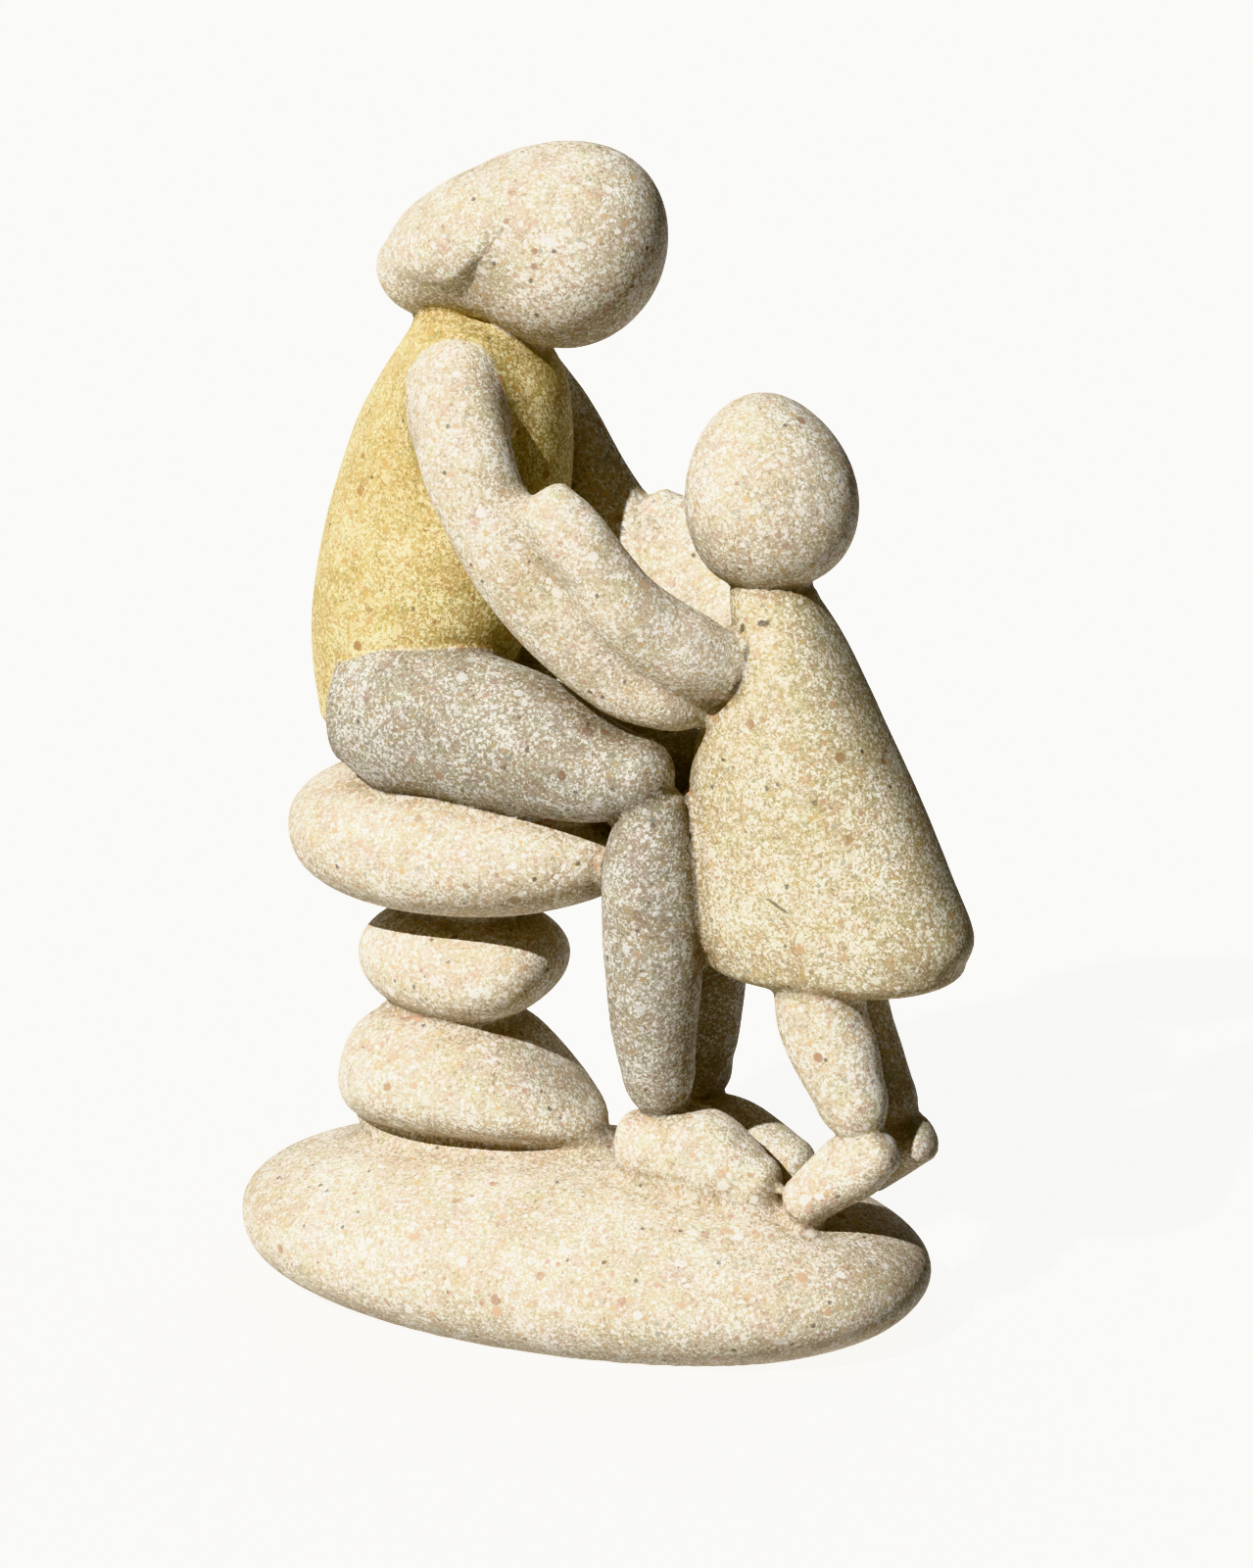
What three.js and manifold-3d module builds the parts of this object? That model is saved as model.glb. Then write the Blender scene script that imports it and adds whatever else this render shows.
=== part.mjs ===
// A pebble group in cast stone resin: a seated adult on a pile of stones and a child on tiptoe,
// who hold each other by the arms, on one broad base pebble. The whole group is one casting.
//
// Millimetres. x runs the way the adult faces, y away from the near side, z up, and the origin is
// the middle of the flat underside.

import * as THREE from "three";
import { mergeVertices } from "three/addons/utils/BufferGeometryUtils.js";
import Module from "manifold-3d";

const wasm = await Module();
wasm.setup();

// Driving sizes
const capRings = 3; // rings that round off each end of a limb
const cutDepth = 60; // depth of the block that cuts the underside flat
const cutSpread = 3; // the block's length and depth, in half sizes of the base pebble
const stoneColour = 0xd9cbb0;
const groupMiddle = 3.4; // x of the middle of the group's length, in the sizes below

// A pebble is an ellipsoid whose side view is drawn by an outline: factors on its radius, evenly
// spaced round the side view from the front (+x) over the top. facets: round the outline, across.
// square: how blocky a form is across, from 2, an ellipse.
const pebbles = {
  base: {
    square: 2.25,
    at: [-0.8, 0, 14.4],
    half: [87, 46.8, 21.1],
    outline: [0.94, 0.98, 1.06, 1.15, 1.18, 1.08, 0.945, 1.02, 1.03, 1.07, 1.06, 0.99],
    facets: [36, 11],
  },
  middleStone: {
    at: [-28.4, 0, 80],
    half: [26.4, 21, 14.8],
    outline: [0.76, 0.88, 1.01, 1.09, 1.14, 1.14, 1.11, 1.07, 1, 0.9, 0.83, 0.75],
    facets: [22, 10],
  },
  seatStone: {
    square: 2.25,
    at: [-32.9, 0, 110.7],
    half: [46.6, 32.9, 17.5],
    outline: [1.04, 1.06, 1.09, 1.1, 1.09, 0.95, 0.77, 0.82, 0.92, 0.94, 0.96, 1],
    facets: [28, 10],
  },
  adultHead: {
    at: [-5.2, 0, 250.9],
    half: [23.4, 21.5, 23.7],
    outline: [0.97, 1.08, 0.93, 1, 1, 1, 1.01, 0.95],
    facets: [26, 12],
  },
  nape: {
    at: [-27, 0, 242.5],
    half: [15, 13.5, 8.5],
    outline: [1, 1, 1, 1],
    facets: [12, 6],
  },
  childHead: {
    at: [42.4, 0, 198.2],
    half: [19.8, 19, 22.9],
    outline: [1.1, 0.96, 0.9, 0.97, 0.95, 0.86, 0.84, 0.93, 1.03, 0.98, 1.03, 1.16],
    facets: [22, 10],
  },
};

// A limb is an oval section carried along a smooth path. Each station is one section:
// [x, y, z, half width seen from the side, half depth across], and ends are the two round tips.
// A level limb keeps its sections level, as a stack of ovals; the others turn with the path.
const limbs = {
  lowerStone: {
    square: 2.4,
    level: true,
    stations: [
      [-35.6, 0, 66.7, 17.2, 16.2],
      [-35.9, 0, 63.2, 21.6, 20.7],
      [-34.6, 0, 57.6, 25.5, 24.3],
      [-31.9, 0, 50.5, 29.5, 25.2],
      [-29.1, 0, 44.9, 31.7, 21.1],
      [-27.7, 0, 40.4, 31.4, 12.6],
    ],
    ends: [4, 6.5],
    facets: [22, 6],
  },
  torso: {
    level: true,
    stations: [
      [-31, 0, 234.5, 9.5, 12],
      [-28.2, 0, 230, 14.2, 17],
      [-28.2, 0, 220.5, 20.6, 21],
      [-30.3, 0, 209.5, 24.8, 23],
      [-33.5, 0, 193.5, 27.5, 24],
      [-36.9, 0, 179.5, 27.9, 25],
      [-40.7, 0, 164, 26.7, 24.5],
      [-44, 0, 151, 23.3, 23],
      [-46.2, 0, 141, 19.5, 22],
    ],
    ends: [2.5, 9],
    facets: [22, 9],
  },
  hair: {
    stations: [
      [-41.5, 0, 242.3, 10, 15],
      [-32.5, 0, 249.2, 12.7, 22],
      [-18.5, 0, 255.8, 13.4, 24],
      [-8, 0, 258, 11.5, 19],
    ],
    ends: [7, 9],
    facets: [20, 6],
  },
  nearThigh: {
    stations: [
      [-52, -17, 143.5, 13, 11.5],
      [-42, -17, 143, 18.5, 14.5],
      [-30.5, -17, 142.5, 18, 15.5],
      [-18, -17, 140.5, 17.5, 15.5],
      [-5, -17, 138, 16, 14.5],
      [8, -17, 134.5, 12.5, 13],
      [18.5, -17, 134, 9, 10.5],
    ],
    ends: [3.5, 8.5],
    facets: [16, 7],
  },
  farThigh: {
    stations: [
      [-56, 17, 136.5, 14, 11],
      [-45, 17, 137, 18.5, 14.5],
      [-33, 17, 136.5, 18.5, 15.5],
      [-20, 17, 134.5, 18, 15.5],
      [-8, 17, 132, 16.5, 14.5],
      [4, 17, 128.5, 14, 13],
      [15, 17, 128, 9.5, 11],
    ],
    ends: [4.5, 9],
    facets: [16, 7],
  },
  nearShin: {
    stations: [
      [22.5, -16, 128, 7, 8],
      [21.5, -16, 114.5, 10.5, 10.5],
      [22, -16, 99, 11.5, 11],
      [22.5, -16, 87, 11, 11],
      [22, -14.8, 75.2, 10, 10],
      [22.3, -13, 64.6, 8.5, 9],
    ],
    ends: [3.5, 12.5],
    facets: [14, 5],
  },
  farShin: {
    stations: [
      [22, 16, 120, 8.5, 9],
      [22, 16, 103.5, 11, 10.5],
      [22.5, 16, 90.5, 10.5, 11],
      [22, 16, 75.5, 10, 10.5],
      [22, 16, 62.5, 8.5, 9],
      [22.5, 16, 56, 6.5, 8],
    ],
    ends: [3.5, 8],
    facets: [14, 5],
  },
  nearShoe: {
    square: 2.4,
    stations: [
      [14.8, -10, 44.3, 7.3, 7.9],
      [23.1, -9.5, 44.8, 9.6, 10.2],
      [31.8, -8.5, 43.2, 10.1, 10.6],
      [38.8, -8, 40.4, 8.1, 9.7],
      [43.9, -8, 38.2, 6.2, 7.7],
    ],
    ends: [3.5, 6.5],
    facets: [14, 4],
  },
  farShoe: {
    square: 2.4,
    stations: [
      [20, 16, 43.6, 5.6, 7.3],
      [29, 16, 41.6, 6.6, 9.3],
      [36.5, 15, 39, 5.9, 9.7],
      [44, 14, 35.9, 5.2, 8.3],
    ],
    ends: [3, 6.5],
    facets: [14, 4],
  },
  nearArm: {
    stations: [
      [-25, -20, 222, 8, 7],
      [-21.2, -25, 214.5, 10.2, 9],
      [-17.8, -28, 206, 10.8, 9.5],
      [-13.4, -29, 196, 10.2, 9.5],
      [-6, -28, 182.5, 10.2, 9],
      [5, -25, 170.5, 11.5, 8.5],
      [16.5, -20, 158, 10, 7.5],
      [25.5, -16.5, 152, 7, 6.5],
      [30, -11.5, 150.5, 5.5, 5.5],
      [34.5, -7, 150.8, 5, 5],
    ],
    ends: [6, 4],
    facets: [14, 9],
  },
  farArm: {
    stations: [
      [-20.5, 20, 216, 6, 7.5],
      [-16, 25, 205.5, 7, 8.5],
      [-9.3, 27, 190.5, 8.3, 9],
      [-2.3, 28, 178.4, 10, 9],
      [7.2, 26, 167.6, 10.5, 8],
      [19.9, 21, 156.3, 7.5, 6],
    ],
    ends: [7, 4.5],
    facets: [12, 7],
  },
  childNearArm: {
    stations: [
      [2.8, -31.5, 197.8, 6.5, 6.5],
      [8.8, -32, 192, 7.8, 7],
      [15, -30, 183.5, 7.7, 7.5],
      [19.5, -27.5, 175.7, 8.9, 8],
      [25, -22.5, 168.8, 9.5, 8.5],
      [31.5, -17.5, 163.4, 9.6, 8.5],
      [38, -12.5, 160, 7.6, 7],
    ],
    ends: [3, 5],
    facets: [12, 6],
  },
  childFarArm: {
    stations: [
      [5.5, 29, 186, 4.5, 6.5],
      [9.9, 30, 181, 7.5, 7],
      [15.8, 27.5, 173.1, 7, 7.5],
      [23.6, 21.5, 165.5, 8, 7],
      [29.8, 15, 162.1, 7, 6],
    ],
    ends: [3, 4],
    facets: [12, 5],
  },
  dress: {
    square: 2.3,
    level: true,
    stations: [
      [44.9, 0, 174.5, 9.7, 9.8],
      [48.3, 0, 165, 12, 14.1],
      [49.8, 0, 154, 16.4, 16.9],
      [50.1, 0, 144, 21.3, 18.3],
      [52.7, 0, 128, 26.9, 19.2],
      [55.8, 0, 111.5, 31.1, 20.6],
      [59, 0, 98.5, 33.4, 21.1],
      [59.9, 0, 91, 30.6, 19.7],
    ],
    ends: [4, 7],
    facets: [24, 8],
  },
  childNearLeg: {
    stations: [
      [59.5, -8, 87, 10.5, 9.5],
      [60.5, -8, 78.5, 10.5, 9.5],
      [64, -8, 70, 10, 9],
      [67, -8, 62.5, 8.5, 8],
    ],
    ends: [3.5, 12],
    facets: [12, 3],
  },
  childFarLeg: {
    stations: [
      [60.5, 9, 83.5, 8, 8.5],
      [63.5, 9, 73.5, 7.5, 8.5],
      [67, 9, 65, 7, 8],
      [70.5, 9, 58, 6, 7],
    ],
    ends: [3.5, 10],
    facets: [12, 3],
  },
  childNearFoot: {
    stations: [
      [74.5, -8, 49.5, 6, 6.5],
      [68.5, -8, 45, 8, 7.5],
      [63, -9, 40.5, 7, 7.5],
      [57.5, -10.5, 35.5, 6, 7],
    ],
    ends: [3.5, 4.5],
    facets: [12, 3],
  },
  childFarFoot: {
    stations: [
      [78.5, 9, 48, 6, 6.5],
      [72.5, 9, 44, 6.5, 7],
      [66.5, 8, 39.5, 6.5, 6],
    ],
    ends: [2.5, 4.5],
    facets: [12, 3],
  },
};

// Value at turn (0 to 1) of the smooth closed curve that runs near evenly spaced factors.
function ringValue(factors, turn) {
  const n = factors.length;
  const place = turn * n;
  const i = Math.floor(place);
  const f = place - i;
  const weights = [
    (1 - f) ** 3 / 6,
    (3 * f ** 3 - 6 * f ** 2 + 4) / 6,
    (-3 * f ** 3 + 3 * f ** 2 + 3 * f + 1) / 6,
    f ** 3 / 6,
  ];
  return weights.reduce((sum, w, j) => sum + w * factors[(i + j - 1 + n) % n], 0);
}

// Value at t (0 to 1) of the smooth open curve through a column of the stations.
function alongValue(values, t) {
  const last = values.length - 1;
  const place = Math.min(t * last, last - 1e-9);
  const i = Math.floor(place);
  const f = place - i;
  const before = i > 0 ? values[i - 1] : 2 * values[0] - values[1];
  const after = i < last - 1 ? values[i + 2] : 2 * values[last] - values[last - 1];
  return (
    0.5 *
    (2 * values[i] +
      (values[i + 1] - before) * f +
      (2 * before - 5 * values[i] + 4 * values[i + 1] - after) * f ** 2 +
      (3 * values[i] - before - 3 * values[i + 1] + after) * f ** 3)
  );
}

// Joins rings of points, with one point before and one after, into a closed surface.
function closedSkin(firstTip, rings, lastTip) {
  const around = rings[0].length;
  const points = [firstTip, ...rings.flat(), lastTip];
  const index = [];
  const at = (ring, k) => 1 + ring * around + (k % around);
  for (let k = 0; k < around; k++) {
    index.push(0, at(0, k + 1), at(0, k));
    for (let ring = 0; ring < rings.length - 1; ring++) {
      index.push(at(ring, k), at(ring, k + 1), at(ring + 1, k + 1));
      index.push(at(ring, k), at(ring + 1, k + 1), at(ring + 1, k));
    }
    index.push(points.length - 1, at(rings.length - 1, k), at(rings.length - 1, k + 1));
  }
  const geometry = new THREE.BufferGeometry().setFromPoints(points);
  return geometry.setIndex(index);
}

// Cosine and sine of an angle, each drawn out to an edge: 2 is round, more is a rounded block.
function drawnOut(angle, square) {
  const reach = (v) => Math.sign(v) * Math.abs(v) ** (2 / square);
  return [reach(Math.cos(angle)), reach(Math.sin(angle))];
}

// Rings of a pebble lie across y: each is the outline, shrunk as the ellipsoid closes.
function pebbleSkin({ at, half, outline, facets, square = 2 }) {
  const [around, across] = facets;
  const middle = new THREE.Vector3(...at);
  const rings = [];
  for (let j = 1; j < across; j++) {
    const latitude = Math.PI * (0.5 - j / across);
    const [shrink, height] = drawnOut(latitude, square);
    const ring = [];
    for (let k = 0; k < around; k++) {
      const angle = (2 * Math.PI * k) / around;
      const bulge = ringValue(outline, k / around) - 1;
      const radius = shrink + bulge * shrink ** 3;
      ring.push(
        new THREE.Vector3(
          half[0] * radius * Math.cos(angle),
          half[1] * height,
          half[2] * radius * Math.sin(angle),
        ).add(middle),
      );
    }
    rings.push(ring);
  }
  const tip = new THREE.Vector3(0, half[1], 0);
  return closedSkin(middle.clone().add(tip), rings, middle.clone().sub(tip));
}

// Rings of a limb stand across its path, and its ends close as quarter ellipses.
function limbSkin({ stations, ends, facets, level = false, square = 2 }) {
  const [around, along] = facets;
  const columns = stations[0].map((_, c) => stations.map((row) => row[c]));
  const section = (t) => columns.map((column) => alongValue(column, t));
  const pointAt = (t) => new THREE.Vector3(...section(t).slice(0, 3));
  const step = 1e-3;

  function ringAt(t, shift, shrink) {
    const [, , , halfWidth, halfDepth] = section(t);
    const ahead = pointAt(Math.min(t + step, 1));
    const behind = pointAt(Math.max(t - step, 0));
    const forward = ahead.sub(behind);
    if (level) forward.set(0, 0, forward.z);
    forward.normalize();
    const across = new THREE.Vector3(0, 1, 0).addScaledVector(forward, -forward.y).normalize();
    const wide = forward.clone().cross(across);
    const middle = pointAt(t).addScaledVector(forward, shift);
    if (shrink === 0) return [middle];
    return Array.from({ length: around }, (_, k) => {
      const [c, s] = drawnOut((2 * Math.PI * k) / around, square);
      return middle
        .clone()
        .addScaledVector(wide, halfWidth * shrink * c)
        .addScaledVector(across, -halfDepth * shrink * s);
    });
  }

  const rings = [];
  for (let j = 1; j < capRings; j++) {
    const angle = (Math.PI / 2) * (j / capRings);
    rings.push(ringAt(0, -ends[0] * Math.cos(angle), Math.sin(angle)));
  }
  for (let j = 0; j <= along; j++) rings.push(ringAt(j / along, 0, 1));
  for (let j = capRings - 1; j > 0; j--) {
    const angle = (Math.PI / 2) * (j / capRings);
    rings.push(ringAt(1, ends[1] * Math.cos(angle), Math.sin(angle)));
  }
  return closedSkin(ringAt(0, -ends[0], 0)[0], rings, ringAt(1, ends[1], 0)[0]);
}

function solidOf(geometry) {
  return new wasm.Manifold(
    new wasm.Mesh({
      numProp: 3,
      vertProperties: geometry.getAttribute("position").array,
      triVerts: new Uint32Array(geometry.index.array),
    }),
  );
}

// One block below z = 0 takes off whatever a form has there, which leaves the flat underside.
function groundBlock() {
  const [length, depth] = pebbles.base.half.map((size) => cutSpread * size);
  const block = new THREE.BoxGeometry(length, depth, cutDepth);
  block.translate(0, 0, -cutDepth / 2);
  block.deleteAttribute("normal");
  block.deleteAttribute("uv");
  return mergeVertices(block);
}

function castGroup() {
  const skins = [
    ...Object.values(pebbles).map(pebbleSkin),
    ...Object.values(limbs).map(limbSkin),
  ];
  const joined = skins.map(solidOf).reduce((whole, form) => whole.add(form));
  const { vertProperties, triVerts } = joined.subtract(solidOf(groundBlock())).getMesh();
  const geometry = new THREE.BufferGeometry();
  geometry.setAttribute("position", new THREE.BufferAttribute(vertProperties, 3));
  geometry.setIndex(new THREE.BufferAttribute(triVerts, 1));
  geometry.translate(-groupMiddle, 0, 0);
  geometry.computeVertexNormals();
  return geometry;
}

const castStone = new THREE.MeshStandardMaterial({
  color: stoneColour,
  roughness: 0.8,
  metalness: 0,
});

const figure = new THREE.Group();
const pebbleGroup = new THREE.Mesh(castGroup(), castStone);
pebbleGroup.name = "pebble_group";
figure.add(pebbleGroup);

export default figure;
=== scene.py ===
# A pebble group in cast stone resin: a seated adult on a pile of stones and a child on tiptoe,
# who hold each other by the arms, on one broad base pebble. The whole group is one casting.
# Metres. x runs the way the adult faces, y away from the near side, z up.

import math

import bpy
import numpy as np
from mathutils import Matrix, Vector


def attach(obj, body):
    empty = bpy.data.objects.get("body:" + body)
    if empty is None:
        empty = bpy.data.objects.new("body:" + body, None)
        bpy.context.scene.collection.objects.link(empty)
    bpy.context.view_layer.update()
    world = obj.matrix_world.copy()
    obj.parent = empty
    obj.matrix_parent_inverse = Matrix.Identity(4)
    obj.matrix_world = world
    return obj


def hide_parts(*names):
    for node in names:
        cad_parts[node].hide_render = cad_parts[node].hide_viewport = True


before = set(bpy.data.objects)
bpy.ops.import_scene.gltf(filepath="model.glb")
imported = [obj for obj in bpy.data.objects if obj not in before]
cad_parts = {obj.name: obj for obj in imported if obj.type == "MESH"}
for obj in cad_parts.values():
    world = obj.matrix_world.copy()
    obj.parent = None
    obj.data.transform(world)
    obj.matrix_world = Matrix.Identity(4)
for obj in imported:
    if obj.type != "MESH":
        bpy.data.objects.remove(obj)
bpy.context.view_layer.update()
print("frame loaded")

mm = 0.001
groupMiddle = 3.4  # mm, x of the middle of the group's length in the sizes below

# ---- the rounded forms, in mm ----

# A pebble is an ellipsoid whose side view is drawn by an outline: factors on its radius, evenly
# spaced round the side view from the front (+x) over the top. square is how blocky a form is
# across, from 2, an ellipse.
pebbles = {
    "base": dict(
        square=2.25, at=(-0.8, 0, 14.4), half=(87, 46.8, 21.1),
        outline=(0.94, 0.98, 1.06, 1.15, 1.18, 1.08, 0.945, 1.02, 1.03, 1.07, 1.06, 0.99)),
    "middleStone": dict(
        at=(-28.4, 0, 80), half=(26.4, 21, 14.8),
        outline=(0.76, 0.88, 1.01, 1.09, 1.14, 1.14, 1.11, 1.07, 1, 0.9, 0.83, 0.75)),
    "seatStone": dict(
        square=2.25, at=(-32.9, 0, 110.7), half=(46.6, 32.9, 17.5),
        outline=(1.04, 1.06, 1.09, 1.1, 1.09, 0.95, 0.77, 0.82, 0.92, 0.94, 0.96, 1)),
    "adultHead": dict(
        at=(-5.2, 0, 250.9), half=(23.4, 21.5, 23.7),
        outline=(0.97, 1.08, 0.93, 1, 1, 1, 1.01, 0.95)),
    "nape": dict(at=(-27, 0, 242.5), half=(15, 13.5, 8.5), outline=(1, 1, 1, 1)),
    "childHead": dict(
        at=(42.4, 0, 198.2), half=(19.8, 19, 22.9),
        outline=(1.1, 0.96, 0.9, 0.97, 0.95, 0.86, 0.84, 0.93, 1.03, 0.98, 1.03, 1.16)),
}

# A limb is an oval section carried along a smooth path. Each station is one section:
# (x, y, z, half width seen from the side, half depth across), and ends are its two round tips.
# A level limb keeps its sections level, as a stack of ovals; the others turn with the path.
limbs = {
    "lowerStone": dict(square=2.4, level=True, ends=(4, 6.5), stations=(
        (-35.6, 0, 66.7, 17.2, 16.2), (-35.9, 0, 63.2, 21.6, 20.7), (-34.6, 0, 57.6, 25.5, 24.3),
        (-31.9, 0, 50.5, 29.5, 25.2), (-29.1, 0, 44.9, 31.7, 21.1), (-27.7, 0, 40.4, 31.4, 12.6))),
    "torso": dict(level=True, ends=(2.5, 9), stations=(
        (-31, 0, 234.5, 9.5, 12), (-28.2, 0, 230, 14.2, 17), (-28.2, 0, 220.5, 20.6, 21),
        (-30.3, 0, 209.5, 24.8, 23), (-33.5, 0, 193.5, 27.5, 24), (-36.9, 0, 179.5, 27.9, 25),
        (-40.7, 0, 164, 26.7, 24.5), (-44, 0, 151, 23.3, 23), (-46.2, 0, 141, 19.5, 22))),
    "hair": dict(ends=(7, 9), stations=(
        (-41.5, 0, 242.3, 10, 15), (-32.5, 0, 249.2, 12.7, 22), (-18.5, 0, 255.8, 13.4, 24),
        (-8, 0, 258, 11.5, 19))),
    "nearThigh": dict(ends=(3.5, 8.5), stations=(
        (-52, -17, 143.5, 13, 11.5), (-42, -17, 143, 18.5, 14.5), (-30.5, -17, 142.5, 18, 15.5),
        (-18, -17, 140.5, 17.5, 15.5), (-5, -17, 138, 16, 14.5), (8, -17, 134.5, 12.5, 13),
        (18.5, -17, 134, 9, 10.5))),
    "farThigh": dict(ends=(4.5, 9), stations=(
        (-56, 17, 136.5, 14, 11), (-45, 17, 137, 18.5, 14.5), (-33, 17, 136.5, 18.5, 15.5),
        (-20, 17, 134.5, 18, 15.5), (-8, 17, 132, 16.5, 14.5), (4, 17, 128.5, 14, 13),
        (15, 17, 128, 9.5, 11))),
    "nearShin": dict(ends=(3.5, 12.5), stations=(
        (22.5, -16, 128, 7, 8), (21.5, -16, 114.5, 10.5, 10.5), (22, -16, 99, 11.5, 11),
        (22.5, -16, 87, 11, 11), (22, -14.8, 75.2, 10, 10), (22.3, -13, 64.6, 8.5, 9))),
    "farShin": dict(ends=(3.5, 8), stations=(
        (22, 16, 120, 8.5, 9), (22, 16, 103.5, 11, 10.5), (22.5, 16, 90.5, 10.5, 11),
        (22, 16, 75.5, 10, 10.5), (22, 16, 62.5, 8.5, 9), (22.5, 16, 56, 6.5, 8))),
    "nearShoe": dict(square=2.4, ends=(3.5, 6.5), stations=(
        (14.8, -10, 44.3, 7.3, 7.9), (23.1, -9.5, 44.8, 9.6, 10.2),
        (31.8, -8.5, 43.2, 10.1, 10.6), (38.8, -8, 40.4, 8.1, 9.7), (43.9, -8, 38.2, 6.2, 7.7))),
    "farShoe": dict(square=2.4, ends=(3, 6.5), stations=(
        (20, 16, 43.6, 5.6, 7.3), (29, 16, 41.6, 6.6, 9.3), (36.5, 15, 39, 5.9, 9.7),
        (44, 14, 35.9, 5.2, 8.3))),
    "nearArm": dict(ends=(6, 4), stations=(
        (-25, -20, 222, 8, 7), (-21.2, -25, 214.5, 10.2, 9), (-17.8, -28, 206, 10.8, 9.5),
        (-13.4, -29, 196, 10.2, 9.5), (-6, -28, 182.5, 10.2, 9), (5, -25, 170.5, 11.5, 8.5),
        (16.5, -20, 158, 10, 7.5), (25.5, -16.5, 152, 7, 6.5), (30, -11.5, 150.5, 5.5, 5.5),
        (34.5, -7, 150.8, 5, 5))),
    "farArm": dict(ends=(7, 4.5), stations=(
        (-20.5, 20, 216, 6, 7.5), (-16, 25, 205.5, 7, 8.5), (-9.3, 27, 190.5, 8.3, 9),
        (-2.3, 28, 178.4, 10, 9), (7.2, 26, 167.6, 10.5, 8), (19.9, 21, 156.3, 7.5, 6))),
    "childNearArm": dict(ends=(3, 5), stations=(
        (2.8, -31.5, 197.8, 6.5, 6.5), (8.8, -32, 192, 7.8, 7), (15, -30, 183.5, 7.7, 7.5),
        (19.5, -27.5, 175.7, 8.9, 8), (25, -22.5, 168.8, 9.5, 8.5),
        (31.5, -17.5, 163.4, 9.6, 8.5), (38, -12.5, 160, 7.6, 7))),
    "childFarArm": dict(ends=(3, 4), stations=(
        (5.5, 29, 186, 4.5, 6.5), (9.9, 30, 181, 7.5, 7), (15.8, 27.5, 173.1, 7, 7.5),
        (23.6, 21.5, 165.5, 8, 7), (29.8, 15, 162.1, 7, 6))),
    "dress": dict(square=2.3, level=True, ends=(4, 7), stations=(
        (44.9, 0, 174.5, 9.7, 9.8), (48.3, 0, 165, 12, 14.1), (49.8, 0, 154, 16.4, 16.9),
        (50.1, 0, 144, 21.3, 18.3), (52.7, 0, 128, 26.9, 19.2), (55.8, 0, 111.5, 31.1, 20.6),
        (59, 0, 98.5, 33.4, 21.1), (59.9, 0, 91, 30.6, 19.7))),
    "childNearLeg": dict(ends=(3.5, 12), stations=(
        (59.5, -8, 87, 10.5, 9.5), (60.5, -8, 78.5, 10.5, 9.5), (64, -8, 70, 10, 9),
        (67, -8, 62.5, 8.5, 8))),
    "childFarLeg": dict(ends=(3.5, 10), stations=(
        (60.5, 9, 83.5, 8, 8.5), (63.5, 9, 73.5, 7.5, 8.5), (67, 9, 65, 7, 8), (70.5, 9, 58, 6, 7))),
    "childNearFoot": dict(ends=(3.5, 4.5), stations=(
        (74.5, -8, 49.5, 6, 6.5), (68.5, -8, 45, 8, 7.5), (63, -9, 40.5, 7, 7.5),
        (57.5, -10.5, 35.5, 6, 7))),
    "childFarFoot": dict(ends=(2.5, 4.5), stations=(
        (78.5, 9, 48, 6, 6.5), (72.5, 9, 44, 6.5, 7), (66.5, 8, 39.5, 6.5, 6))),
}

# How the forms run into each other, and how the skin is meshed
casting = dict(
    voxel=1.45,  # mm between points of the skin
    around=64, along=56,  # steps of each form before they are joined
    fillet=1.8,  # mm, how far a form runs into those before it
    # where that is wider, by height: pairs of height and reach in mm
    fillets=dict(nape=((240, 9), (250, 9)), hair=((249, 8), (263, 5)),
                 nearArm=((190, 1.8), (212, 10)), childNearArm=((162, 2), (172, 3.5), (184, 7)),
                 lowerStone=((41, 7), (50, 1.8)), nearShoe=((38, 6), (44, 2)),
                 farShoe=((36, 5), (42, 2)), childNearFoot=((34, 3), (42, 1.8))),
    settlePasses=4,
    swell=0.10, swellLength=30,  # mm, slow unevenness of every surface, and its wavelength
    ripple=0.03, rippleLength=6,
)

# Where the hair ends on the cheek, in the side view: x, z and the share of the full step
hairEdge = dict(
    line=((-41, 246.5, 0), (-33, 244, 0.15), (-26.5, 243, 0.7), (-21.6, 245.5, 1),
          (-16.5, 251, 0.9), (-13.2, 255.5, 0.4), (-11, 259, 0), (-8, 264, 0)),
    height=1.3, width=1.6, reach=11,  # mm
)


# Smooth closed curve that runs near evenly spaced factors: a uniform cubic B-spline of them.
def ringFactor(outline, turn):
    factors = np.asarray(outline, float)
    place = (turn % 1.0) * len(factors)
    i = np.floor(place).astype(int)
    f = place - i
    weights = ((1 - f) ** 3 / 6, (3 * f**3 - 6 * f**2 + 4) / 6,
               (-3 * f**3 + 3 * f**2 + 3 * f + 1) / 6, f**3 / 6)
    return sum(w * factors[(i + j - 1) % len(factors)] for j, w in enumerate(weights))


# Smooth open curve through the stations at t from 0 to 1: a Catmull-Rom spline of each column.
def stationValue(stations, t):
    rows = np.asarray(stations, float)
    rows = np.vstack([2 * rows[0] - rows[1], rows, 2 * rows[-1] - rows[-2]])
    last = len(stations) - 1
    place = np.clip(t * last, 0, last - 1e-9)
    i = place.astype(int)
    f = (place - i)[:, None]
    a, b, c, d = rows[i], rows[i + 1], rows[i + 2], rows[i + 3]
    return 0.5 * (2 * b + (c - a) * f + (2 * a - 5 * b + 4 * c - d) * f**2
                  + (3 * b - a - 3 * c + d) * f**3)


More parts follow.
